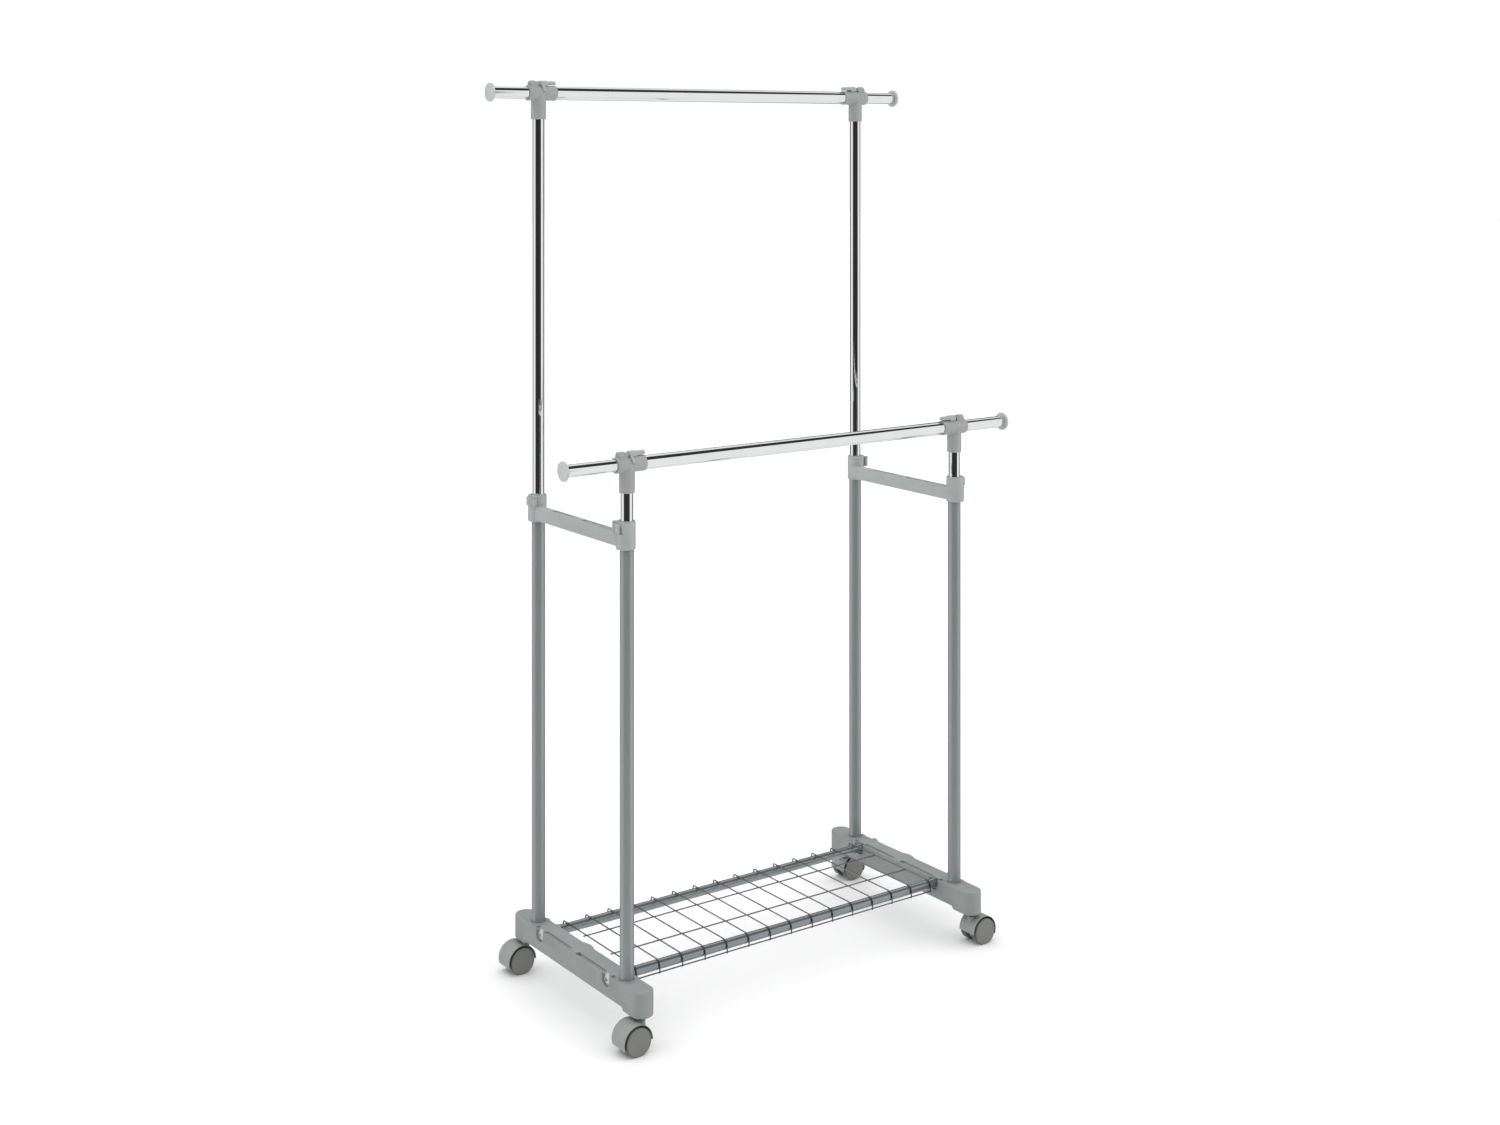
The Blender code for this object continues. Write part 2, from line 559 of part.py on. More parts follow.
def rails():
    for name, s, z in (("front", -1, FRONT_RAIL_Z), ("back", 1, REAR_RAIL_Z)):
        end = HALF_X - TEE_STOP - GAP
        rail = along_x(pipe(TUBE_R, TUBE_R - TUBE_WALL, -end, end))
        piece(f"rail_{name}", rail, CHROME, (0, s * HALF_Y, z))
    for name, (sx, sy) in CORNERS.items():
        reach = FRONT_REACH if sy < 0 else REAR_REACH
        rail_z = FRONT_RAIL_Z if sy < 0 else REAR_RAIL_Z
        at = (sx * (HALF_X + reach), sy * HALF_Y, rail_z)
        outwards = Matrix.Rotation(sx * pi / 2, 4, "Y")
        mouth = -CAP_H - GAP
        tube = pipe(SLIM_R, SLIM_R - SLIM_WALL, mouth - EXTENSION_LENGTH, mouth)
        piece(f"rail_extension_{name}", moved(tube, outwards), CHROME, at)
        plug = SLIM_R - SLIM_WALL - GAP
        cap = [(0, 0), (CAP_R - 0.001, 0), (CAP_R, -0.001), (CAP_R, -CAP_H), (plug, -CAP_H)]
        cap += [(plug, -CAP_PLUG), (plug - 0.002, -CAP_PLUG), (plug - 0.002, -CAP_H), (0, -CAP_H)]
        piece(f"end_cap_{name}", moved(turned(cap), outwards), PLASTIC, at)


def caster(name, sx, sy):
    """A twin-wheel caster that trails outwards. Its hood's own origin is on the swivel axis."""
    at = (sx * HALF_X, sy * (HALF_Y + OVERHANG), 0)
    stem = [(0, STEM_LOW), (STEM_R, STEM_LOW), (STEM_R, NECK_TOP + GAP), (NECK_R, NECK_TOP + GAP)]
    stem += [(NECK_R, BOSS_LOW - GAP), (STEM_TOP_R, BOSS_LOW - GAP)]
    stem += [(STEM_TOP_R, BOSS_LOW + STEM_DEPTH), (0, BOSS_LOW + STEM_DEPTH)]
    piece(f"caster_stem_{name}", turned(stem), STEEL, at)
    bore = HOOD_R - HOOD_WALL
    arc = [radians(HOOD_START + HOOD_TURN * i / 11) for i in range(12)]
    roof = [(HOOD_R * cos(a), HOOD_R * sin(a)) for a in arc]
    roof += [(bore * cos(a), bore * sin(a)) for a in reversed(arc)]
    web = [((bore + 0.001) * cos(a), (bore + 0.001) * sin(a)) for a in arc]
    neck = rod(STEM_R + 0.0028, STEM_LOW - 0.0035, NECK_TOP)
    add = [
        along_y(prism(web, -WEB_HALF, WEB_HALF)),
        along_y(rod(AXLE_R, -WHEEL_OUT + 0.002, WHEEL_OUT - 0.002)),
    ]
    add = [shifted(shape, z=WHEEL_R) for shape in add] + [shifted(neck, x=TRAIL)]
    cut = [shifted(rod(STEM_R + GAP, STEM_LOW - 0.0005, NECK_TOP + 0.02), x=TRAIL)]
    hood = shifted(along_y(prism(roof, -HOOD_HALF, HOOD_HALF)), z=WHEEL_R)
    back = Matrix.Translation((-TRAIL, 0, 0))
    add = [moved(shape, back) for shape in add]
    cut = [moved(shape, back) for shape in cut]
    turn = 0.0 if sx < 0 else pi
    piece(f"caster_hood_{name}", moved(hood, back), PALE, at, turn, add, cut)
    rim = 0.0015
    tread = WHEEL_R / cos(pi / WHEEL_SIDES)
    wheel = [(AXLE_R + GAP, WHEEL_IN), (tread - rim, WHEEL_IN), (tread, WHEEL_IN + rim)]
    wheel += [(tread, WHEEL_OUT - rim), (tread - rim, WHEEL_OUT), (0, WHEEL_OUT)]
    wheel += [(0, WHEEL_OUT - rim), (AXLE_R + GAP, WHEEL_OUT - rim)]
    flat = Matrix.Rotation(pi / WHEEL_SIDES, 4, "Z")
    hub = (sx * (HALF_X + TRAIL), at[1], WHEEL_R)
    for label, s in (("a", -1), ("b", 1)):
        shape = moved(turned(wheel, WHEEL_SIDES), Matrix.Rotation(-s * pi / 2, 4, "X") @ flat)
        piece(f"caster_wheel_{name}_{label}", shape, DARK, hub)


foot("base_left", -HALF_X)
foot("base_right", HALF_X)
shelf()
uprights()
crossbar("crossbar_left", -1)
crossbar("crossbar_right", 1)
rails()
for corner, (side_x, side_y) in CORNERS.items():
    collar_lever(f"collar_lever_{corner}", side_x, side_y)
    tee(f"tee_{corner}", side_x, side_y)
    tee_lever(f"tee_lever_{corner}", side_x, side_y)
    caster(corner, side_x, side_y)
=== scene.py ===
"""Looks of the rolling clothes rack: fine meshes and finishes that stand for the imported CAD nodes."""

import json
from math import atan2, cos, pi, radians, sin

import bmesh
import bpy
from mathutils import Matrix, Vector


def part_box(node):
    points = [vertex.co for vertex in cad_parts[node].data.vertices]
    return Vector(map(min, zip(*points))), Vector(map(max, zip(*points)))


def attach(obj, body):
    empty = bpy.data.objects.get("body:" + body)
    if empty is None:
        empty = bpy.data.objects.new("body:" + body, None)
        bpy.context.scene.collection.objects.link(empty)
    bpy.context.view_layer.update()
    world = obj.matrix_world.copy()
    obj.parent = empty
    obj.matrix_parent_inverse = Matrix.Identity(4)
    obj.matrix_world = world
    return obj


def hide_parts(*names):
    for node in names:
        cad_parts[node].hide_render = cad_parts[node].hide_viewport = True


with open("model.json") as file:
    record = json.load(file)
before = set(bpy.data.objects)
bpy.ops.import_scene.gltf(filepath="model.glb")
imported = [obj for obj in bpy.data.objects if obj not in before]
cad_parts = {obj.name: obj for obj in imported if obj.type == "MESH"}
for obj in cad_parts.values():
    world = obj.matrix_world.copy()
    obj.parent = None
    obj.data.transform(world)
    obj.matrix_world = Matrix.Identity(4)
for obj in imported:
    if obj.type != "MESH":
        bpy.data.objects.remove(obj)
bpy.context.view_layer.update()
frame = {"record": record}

BODY = {node: body for body, nodes in frame["record"]["behaviour"]["bodies"].items() for node in nodes}
CORNERS = {"fl": (-1, -1), "fr": (1, -1), "bl": (-1, 1), "br": (1, 1)}
MM = 0.001


def middle(node):
    low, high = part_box(node)
    return (low + high) / 2


# Places, read from the CAD model.
HALF_X = middle("lower_upright_fr").x
HALF_Y = middle("lower_upright_br").y
RAIL_Z = {-1: middle("rail_front").z, 1: middle("rail_back").z}
SHELF_Y = middle("shelf_tube_back").y
SHELF_Z = middle("shelf_tube_back").z
COLLAR_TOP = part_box("crossbar_left")[1].z
STEM_Y = middle("caster_stem_br").y
TUBE_R = (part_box("lower_upright_fl")[1].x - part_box("lower_upright_fl")[0].x) / 2
SLIM_R = (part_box("upper_tube_fl")[1].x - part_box("upper_tube_fl")[0].x) / 2
CAP_R = (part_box("end_cap_fl")[1].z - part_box("end_cap_fl")[0].z) / 2
CAP_H = 4.5 * MM
GAP = 0.3 * MM

# The foot.
FOOT_HALF = 20.5 * MM
SOCKET_RISE = 1.5 * MM
FOOT_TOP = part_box("base_left")[1].z - SOCKET_RISE
FOOT_LOW = FOOT_TOP - 38 * MM
BOSS_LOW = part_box("base_left")[0].z
STEP_REACH = 31.5 * MM
NOTCH_R = 12.5 * MM
NOTCH_DEPTH = 6.5 * MM

# The crossbar's collars and their levers.
COLLAR_R = 17.5 * MM
COLLAR_SHIFT = 2.5 * MM
COLLAR_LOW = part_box("crossbar_left")[0].z
LEVER_LOW = 890.3 * MM
LEVER_HIGH = 905.7 * MM
LEVER_WALL = 2.6 * MM
PIN_ANGLE = 48
TIP_ANGLE = 24
LUG_R = 3.4 * MM

# The tees and their levers.
TEE_R = 14 * MM
SLEEVE_R = 14.2 * MM
CLAMP_TOP = 23.5 * MM
CLAMP_R = 7.8 * MM
CAM_U = -4.2 * MM
CAM_Z = 17.8 * MM
LEVER_STEP = 21 * MM  # from the pin to where the lever narrows to its handle

# The casters.
WHEEL_R = 25 * MM
TRAIL = 19 * MM
HOOD_R = 29 * MM
HUB_R = 20 * MM  # the web's free edge, between the wheels
ARC_START, ARC_SWEEP = -4, 206  # the hood's arc, in degrees from the stem's side
WEB_STEP = 12  # from the arc's ends to the web's free edge


# Points and faces.


def round_points(points, steps=4):
    """Corners of (x, y, fillet) as (x, y) points; a corner with no third number stays sharp."""
    out = []
    count = len(points)
    for i, corner in enumerate(points):
        here = Vector(corner[:2])
        fillet = corner[2] if len(corner) > 2 else 0
        if fillet == 0:
            out.append(tuple(here))
            continue
        before = Vector(points[i - 1][:2]) - here
        after = Vector(points[(i + 1) % count][:2]) - here
        start = here + before.normalized() * min(fillet, before.length * 0.48)
        end = here + after.normalized() * min(fillet, after.length * 0.48)
        for k in range(steps + 1):
            t = k / steps
            out.append(tuple((1 - t) ** 2 * start + 2 * t * (1 - t) * here + t * t * end))
    return out


def circle(radius, count=64, centre=(0, 0), start=0.0, sweep=360.0):
    steps = count if sweep == 360 else count - 1
    angles = [radians(start + sweep * i / steps) for i in range(count)]
    return [(centre[0] + radius * cos(a), centre[1] + radius * sin(a)) for a in angles]


def turned(profile, count=64):
    """A closed profile of (radius, height, fillet) turned about Z."""
    points, rings = [], []
    for radius, height in round_points(profile):
        if radius < 1e-9:
            rings.append([len(points)] * count)
            points.append((0, 0, height))
            continue
        rings.append(list(range(len(points), len(points) + count)))
        points += [(x, y, height) for x, y in circle(radius, count)]
    faces = []
    for one, two in zip(rings, rings[1:] + rings[:1]):
        for i in range(count):
            j = (i + 1) % count
            corners = list(dict.fromkeys((one[i], one[j], two[j], two[i])))
            if len(corners) > 2:
                faces.append(tuple(corners))
    return points, faces


def rod(radius, low, high, count=64, edge=0.0):
    return turned([(0, low), (radius, low, edge), (radius, high, edge), (0, high)], count)


def pipe(radius, bore, low, high, count=96, edge=0.3 * MM):
    profile = [(bore, low, edge), (radius, low, edge), (radius, high, edge), (bore, high, edge)]
    return turned(profile, count)


def inset(outline, distance):
    """A counterclockwise outline moved inwards."""
    out = []
    count = len(outline)
    for i in range(count):
        before, here, after = (Vector(outline[j % count]) for j in (i - 1, i, i + 1))
        one, two = (here - before).normalized(), (after - here).normalized()
        one, two = Vector((-one.y, one.x)), Vector((-two.y, two.x))
        out.append(tuple(here + (one + two) / max(1 + one.dot(two), 0.4) * distance))
    return out


def slab(outline, low, high, low_edge=0.0, high_edge=0.0, steps=4):
    """A counterclockwise outline in XY raised along Z, with rounded rims."""
    levels = []
    if low_edge:
        for k in range(steps):
            a = pi / 2 * k / steps
            levels.append((low_edge * (1 - sin(a)), low + low_edge * (1 - cos(a))))
    levels += [(0, low + low_edge), (0, high - high_edge)]
    if high_edge:
        for k in reversed(range(steps)):
            a = pi / 2 * k / steps
            levels.append((high_edge * (1 - sin(a)), high - high_edge * (1 - cos(a))))
    points, faces = [], []
    count = len(outline)
    for distance, z in levels:
        points += [(x, y, z) for x, y in (inset(outline, distance) if distance else outline)]
    for k in range(len(levels) - 1):
        for i in range(count):
            j = (i + 1) % count
            one, two = k * count, (k + 1) * count
            faces.append((one + i, one + j, two + j, two + i))
    top = (len(levels) - 1) * count
    return points, [*faces, tuple(range(count))[::-1], tuple(range(top, top + count))]


def block(low, high, edge=0.0):
    (x0, y0, z0), (x1, y1, z1) = low, high
    return slab(round_points([(x0, y0, edge), (x1, y0, edge), (x1, y1, edge), (x0, y1, edge)]), z0, z1)


def wire(path, radius, count=12):
    """A round wire with domed ends along a path in one plane across X, or straight."""
    path = [Vector(point) for point in path]
    spine = []
    for i, point in enumerate(path):
        before = (point - path[max(i - 1, 0)]).normalized()
        after = (path[min(i + 1, len(path) - 1)] - point).normalized()
        along = (before + after).normalized()
        spine.append((point, along, radius, radius / max(along.dot(after if i == 0 else before), 0.5)))
    first, last = spine[0], spine[-1]
    domes = [(sin(a), cos(a)) for a in (radians(75), radians(50), radians(25))]
    spine[:0] = [(first[0] + first[1] * radius * (1 - s), first[1], radius * c, radius * c) for s, c in domes]
    spine[3] = (first[0] + first[1] * radius, *first[1:])
    spine[-1] = (last[0] - last[1] * radius, *last[1:])
    domes.reverse()
    spine += [(last[0] - last[1] * radius * (1 - s), last[1], radius * c, radius * c) for s, c in domes]
    points, faces = [], []
    for point, along, wide, tall in spine:
        across = Vector((1, 0, 0)) if abs(along.x) < 0.5 else Vector((0, 1, 0))
        up = along.cross(across)
        points += [point + across * a * wide + up * b * tall for a, b in circle(1, count)]
    for k in range(len(spine) - 1):
        for i in range(count):
            j = (i + 1) % count
            faces.append((k * count + i, k * count + j, (k + 1) * count + j, (k + 1) * count + i))
    end = (len(spine) - 1) * count
    return points, [*faces, tuple(range(count)), tuple(range(end, end + count))]


def moved(data, matrix):
    return [matrix @ Vector(point) for point in data[0]], data[1]


def shifted(data, x=0.0, y=0.0, z=0.0):
    return moved(data, Matrix.Translation((x, y, z)))


def along_x(data):
    return moved(data, Matrix.Rotation(pi / 2, 4, "Y"))


def along_y(data):
    """A shape drawn in XY and raised along Z, turned to be drawn in XZ and raised along Y."""
    return moved(data, Matrix(((1, 0, 0, 0), (0, 0, 1, 0), (0, 1, 0, 0), (0, 0, 0, 1))))


def along_yz(data):
    """A shape drawn in XY and raised along Z, turned to be drawn in YZ and raised along X."""
    return moved(data, Matrix(((0, 0, 1, 0), (1, 0, 0, 0), (0, 1, 0, 0), (0, 0, 0, 1))))


def together(*shapes):
    points, faces = [], []
    for shape in shapes:
        start = len(points)
        points += list(shape[0])
        faces += [tuple(i + start for i in face) for face in shape[1]]
    return points, faces


# Meshes.


def mesh_of(data):
    mesh = bpy.data.meshes.new("shape")
    mesh.from_pydata([tuple(p) for p in data[0]], [], list(data[1]))
    work = bmesh.new()
    work.from_mesh(mesh)
    bmesh.ops.recalc_face_normals(work, faces=work.faces)
    work.to_mesh(mesh)
    work.free()
    return mesh


def helper(data):
    made = bpy.data.objects.new("helper", mesh_of(data) if isinstance(data, tuple) else data)
    bpy.context.scene.collection.objects.link(made)
    return made


def applied(made):
    """The object's mesh with its modifiers carried out, and the object gone."""
    graph = bpy.context.evaluated_depsgraph_get()
    mesh = bpy.data.meshes.new_from_object(made.evaluated_get(graph))
    bpy.data.objects.remove(made)
    return mesh


def joined(data, add=(), cut=()):
    """One mesh from a shape, others joined on to it and others then cut away."""
    made = helper(data)
    tools = []
    for operation, shapes in (("UNION", add), ("DIFFERENCE", cut)):
        for shape in shapes:
            tool = helper(shape)
            tools.append(tool)
            change = made.modifiers.new("join", "BOOLEAN")
            change.operation = operation
            change.solver = "EXACT"
            change.object = tool
    mesh = applied(made)
    for tool in tools:
        bpy.data.objects.remove(tool)
    return tidied(mesh)


def tidied(mesh):
    work = bmesh.new()
    work.from_mesh(mesh)
    bmesh.ops.remove_doubles(work, verts=work.verts, dist=2e-6)
    bmesh.ops.dissolve_degenerate(work, edges=work.edges, dist=2e-6)
    work.to_mesh(mesh)
    work.free()
    return mesh


def softened(mesh, width, segments=2, angle=42):
    """The same mesh with its hard edges broken."""
    made = helper(mesh)
    change = made.modifiers.new("edge", "BEVEL")
    change.width = width
    change.segments = segments
    change.limit_method = "ANGLE"
    change.angle_limit = radians(angle)
    change.use_clamp_overlap = False
    change.miter_outer = "MITER_ARC"
    return tidied(applied(made))


def melted(mesh, voxel, rounds):
    """The same mesh with its seams flowing into each other, as in a moulding."""
    made = helper(mesh)
    change = made.modifiers.new("remesh", "REMESH")
    change.mode = "VOXEL"
    change.voxel_size = voxel
    change = made.modifiers.new("smooth", "SMOOTH")
    change.factor = 0.5
    change.iterations = rounds
    return applied(made)


def shade(mesh, angle=32):
    mesh.shade_smooth()
    mesh.set_sharp_from_angle(angle=radians(angle))
    return mesh


def show(name, mesh, look, node, place=None):
    """A piece that stands for a CAD node and rides on its body."""
    mesh = shade(mesh_of(mesh) if isinstance(mesh, tuple) else mesh)
    made = bpy.data.objects.new(name, mesh)
    bpy.context.scene.collection.objects.link(made)
    if not mesh.materials:
        for made_look in look if isinstance(look, list) else [look]:
            mesh.materials.append(made_look)
    if place is not None:
        made.matrix_world = place
    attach(made, BODY[node])
    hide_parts(node)
    return made


# Finishes.


def finish(name, colour, roughness, metallic=0.0, grain=0.0, grain_scale=900.0, drift=0.05, streak=None):
    """A procedural finish: a drifting tone, uneven gloss and a fine grain in the surface."""
    made = bpy.data.materials.new(name)
    made.use_nodes = True
    nodes, links = made.node_tree.nodes, made.node_tree.links
    shader = nodes["Principled BSDF"]
    shader.inputs["Metallic"].default_value = metallic
    place = nodes.new("ShaderNodeTexCoord")
    stretch = nodes.new("ShaderNodeMapping")
    stretch.inputs["Scale"].default_value = streak or (1, 1, 1)
    links.new(place.outputs["Object"], stretch.inputs["Vector"])
    cloud = nodes.new("ShaderNodeTexNoise")
    cloud.inputs["Scale"].default_value = 35
    cloud.inputs["Detail"].default_value = 5
    links.new(stretch.outputs["Vector"], cloud.inputs["Vector"])
    tone = nodes.new("ShaderNodeMapRange")
    tone.inputs["From Min"].default_value = 0.3
    tone.inputs["From Max"].default_value = 0.7
    tone.inputs["To Min"].default_value = 1 - drift
    tone.inputs["To Max"].default_value = 1 + drift
    links.new(cloud.outputs["Fac"], tone.inputs["Value"])
    mix = nodes.new("ShaderNodeVectorMath")
    mix.operation = "SCALE"
    mix.inputs[0].default_value = colour
    links.new(tone.outputs["Result"], mix.inputs["Scale"])
    links.new(mix.outputs["Vector"], shader.inputs["Base Color"])
    fine = nodes.new("ShaderNodeTexNoise")
    fine.inputs["Scale"].default_value = grain_scale
    fine.inputs["Detail"].default_value = 3
    links.new(stretch.outputs["Vector"], fine.inputs["Vector"])
    gloss = nodes.new("ShaderNodeMapRange")
    gloss.inputs["To Min"].default_value = roughness * 0.85
    gloss.inputs["To Max"].default_value = roughness * 1.15
    links.new(fine.outputs["Fac"], gloss.inputs["Value"])
    links.new(gloss.outputs["Result"], shader.inputs["Roughness"])
    if grain:
        bump = nodes.new("ShaderNodeBump")
        bump.inputs["Strength"].default_value = grain
        bump.inputs["Distance"].default_value = 0.0002
        links.new(fine.outputs["Fac"], bump.inputs["Height"])
        links.new(bump.outputs["Normal"], shader.inputs["Normal"])
    return made


GREY = finish("moulded_grey", (0.270, 0.288, 0.284), 0.46, grain=0.22)
# A paler copy of the grey moulding for the crossbars and levers: the extra lightness is painted light, for
# the light from the left that falls on them.
PALE_PAINTED_LIGHT = finish("moulded_pale", (0.375, 0.400, 0.396), 0.44, grain=0.18)
CAP = finish("cap_pale", (0.50, 0.52, 0.515), 0.44, grain=0.16)
TEE = finish("tee_grey", (0.335, 0.352, 0.348), 0.44, grain=0.2)
HOOD = finish("hood_grey", (0.300, 0.314, 0.304), 0.42, grain=0.18)
# Near-black painted shade for the inside of the caster hoods, where the gap over the wheels falls dark.
HOOD_PAINTED_SHADE = finish("hood_inside_painted_shade", (0.035, 0.036, 0.035), 0.6, grain=0.2)
DISC = finish("wheel_disc", (0.190, 0.193, 0.184), 0.42, grain=0.2)
# Near-black for the wheels: partly the tread's own darker rubber, partly painted shade for the dark gap
# inside the hood.
TREAD_AND_PAINTED_SHADE = finish("wheel_tread_and_painted_shade", (0.085, 0.086, 0.083), 0.55, grain=0.3)
PAINT = finish("painted_tube", (0.31, 0.335, 0.335), 0.34, 0.35, 0.05, 1400.0, 0.03, (1, 1, 0.15))
SHELF = finish("shelf_tube", (0.29, 0.305, 0.315), 0.22, 0.75, 0.03, 1200.0, 0.04, (0.15, 1, 1))
CHROME = finish("chrome_tube", (0.86, 0.865, 0.87), 0.05, 1.0, 0.012, 500.0, 0.015)
WIRE = finish("chrome_wire", (0.20, 0.205, 0.21), 0.22, 1.0, 0.02, 700.0, 0.04)
BOLT = finish("screw_chrome", (0.64, 0.65, 0.66), 0.40, 0.6, 0.03, 900.0, 0.03)
STEEL = finish("stem_steel", (0.20, 0.20, 0.20), 0.3, 1.0, 0.05, 900.0, 0.05)


# The feet.


def stadium(half_width, reach, count=33):
    """A long counterclockwise outline with round ends about (0, -reach) and (0, reach)."""
    front = circle(half_width, count, (0, -reach), 180, 180)
    back = circle(half_width, count, (0, reach), 0, 180)
    return front + back


def foot_mesh():
    reach = STEM_Y
    body = slab(stadium(FOOT_HALF, reach), BOSS_LOW, FOOT_TOP, 2.8 * MM, 2.2 * MM, 6)
    inner = reach - STEP_REACH
    far = inner + 4 * MM
    deep = BOSS_LOW - 10 * MM
    hollow = [(-far, deep), (far, deep), (far, BOSS_LOW + 0.2 * MM, 2 * MM), (inner, FOOT_LOW, 3 * MM)]
    hollow += [(-inner, FOOT_LOW, 3 * MM), (-far, BOSS_LOW + 0.2 * MM, 2 * MM)]
    under = along_yz(slab(round_points(hollow), -0.05, 0.05))
    bosses, sinks, notches, grooves = [], [], [], []
    floor = FOOT_TOP - 3.5 * MM
    groove_x = -FOOT_HALF + 3 * MM
    groove_w = 8.5 * MM
    for s in (-1, 1):
        ring = [(0, -4 * MM), (16.5 * MM, -4 * MM), (16.5 * MM, SOCKET_RISE, 1.0 * MM), (0, SOCKET_RISE)]
        bosses.append(shifted(turned(ring), y=s * HALF_Y, z=FOOT_TOP))
        side = [(0, FOOT_LOW + MM), (10.5 * MM, FOOT_LOW + MM, 1.2 * MM)]
        side += [(10.5 * MM, FOOT_TOP - MM, 1.5 * MM), (0, FOOT_TOP - MM)]
        bosses.append(shifted(turned(side), 13.5 * MM, s * HALF_Y))
        seat = [(0, FOOT_HALF - 3 * MM), (11 * MM, FOOT_HALF - 3 * MM)]
        seat += [(11 * MM, FOOT_HALF + 2 * MM, 0.6 * MM), (0, FOOT_HALF + 2 * MM)]
        bosses.append(shifted(along_x(turned(seat)), y=s * SHELF_Y, z=SHELF_Z))
        sinks.append(shifted(rod(TUBE_R + 0.5 * MM, FOOT_TOP - 30 * MM, FOOT_TOP + 10 * MM), y=s * HALF_Y))
        sinks.append(shifted(rod(5.8 * MM, 0, BOSS_LOW + 30.3 * MM, 32), y=s * reach))
        sinks.append(shifted(along_x(rod(3.1 * MM, -0.03, 0.03, 24)), y=s * SHELF_Y, z=SHELF_Z))
        notch = circle(NOTCH_R, 25, (s * SHELF_Y, SHELF_Z), 180, 180)
        notch += [(s * SHELF_Y + NOTCH_R, FOOT_TOP + 0.02), (s * SHELF_Y - NOTCH_R, FOOT_TOP + 0.02)]
        notches.append(along_yz(slab(notch, -FOOT_HALF - 0.01, -FOOT_HALF + NOTCH_DEPTH)))
        near = 16 * MM if s > 0 else 9 * MM
        runs = ((near, SHELF_Y - NOTCH_R + MM), (SHELF_Y + NOTCH_R - MM, HALF_Y - 18.5 * MM))
        for run in runs:
            start, end = sorted(s * y for y in run)
            grooves.append(block((groove_x, start, floor), (groove_x + groove_w, end, FOOT_TOP + 0.01), MM))
    tab = [(FOOT_HALF + 4.2 * MM * sin(pi * i / 16), 6 * MM + 34 * MM * (i / 16 - 0.5)) for i in range(17)]
    tab = [(FOOT_HALF - 4 * MM, -11 * MM), *tab, (FOOT_HALF - 4 * MM, 23 * MM)]
    bosses.append(slab(tab, FOOT_TOP - 6 * MM, FOOT_TOP - 0.01 * MM, 1.2 * MM, 1.2 * MM))
    belly = SHELF_Y - 34 * MM
    wall = FOOT_HALF - 3 * MM
    sinks.append(block((-wall, -belly, FOOT_LOW - 0.01), (wall, belly, FOOT_TOP - 17 * MM), 2 * MM))
    pocket = (groove_x - 0.5 * MM, -17 * MM, FOOT_TOP - 9 * MM)
    sinks.append(block(pocket, (groove_x + groove_w + 0.5 * MM, -8.5 * MM, FOOT_TOP + 0.011), 0.8 * MM))
    cut = [under, *(together(*shapes) for shapes in (sinks, notches, grooves))]
    return softened(joined(body, [together(*bosses)], cut), 0.45 * MM)


foot = foot_mesh()
for name, side in (("left", -1), ("right", 1)):
    show(f"foot_{name}", foot, GREY, f"base_{name}", Matrix.Translation((side * HALF_X, 0, 0)))


# The shelf.


def shelf_tube_mesh():
    low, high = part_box("shelf_tube_back")
    left, right = low.x, high.x
    bore = 7.8 * MM
    profile = [(3.1 * MM, left), (10.4 * MM, left, 1.0 * MM), (10.4 * MM, left + 4.5 * MM, 0.6 * MM)]
    profile += [(9 * MM, left + 4.5 * MM), (9 * MM, right - 4.5 * MM)]
    profile += [(10.4 * MM, right - 4.5 * MM, 0.6 * MM), (10.4 * MM, right, 1.0 * MM), (3.1 * MM, right)]
    profile += [(3.1 * MM, right - 20 * MM), (bore, right - 20 * MM)]
    profile += [(bore, left + 20 * MM), (3.1 * MM, left + 20 * MM)]
    return mesh_of(along_x(turned(profile, 80)))


shelf_tube = shelf_tube_mesh()
for name, side in (("front", -1), ("back", 1)):
    place = Matrix.Translation((0, side * SHELF_Y, SHELF_Z))
    show(f"shelf_tube_{name}_fine", shelf_tube, SHELF, f"shelf_tube_{name}", place)


def screw_mesh():
    """A washer and a domed head with a cross recess, seated at 0 and looking along Z."""
    head = 9.8 * MM
    dome = [(head * cos(a), 1.3 * MM + 3.2 * MM * sin(a)) for a in (radians(x) for x in range(12, 90, 6))]
    profile = [(0, -16 * MM), (2.8 * MM, -16 * MM, 0.5 * MM), (2.8 * MM, 0), (11 * MM, 0, 0.3 * MM)]
    profile += [(11 * MM, 1.3 * MM, 0.5 * MM), (head - 0.1 * MM, 1.3 * MM), *dome, (0, 4.5 * MM)]
    arm = 4.3 * MM
    slot = block((-arm, -1.15 * MM, 1.6 * MM), (arm, 1.15 * MM, 6 * MM), 0.4 * MM)
    return joined(turned(profile, 48), cut=[slot, moved(slot, Matrix.Rotation(pi / 2, 4, "Z"))])


screw = screw_mesh()
for name, (sx, sy) in CORNERS.items():
    low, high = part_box(f"shelf_screw_{name}")
    face = low.x if sx < 0 else high.x
    place = Matrix.Translation((face - sx * 4.5 * MM, sy * SHELF_Y, SHELF_Z))
    place @= Matrix.Rotation(sx * pi / 2, 4, "Y")
    show(f"shelf_bolt_{name}", screw, BOLT, f"shelf_screw_{name}", place)


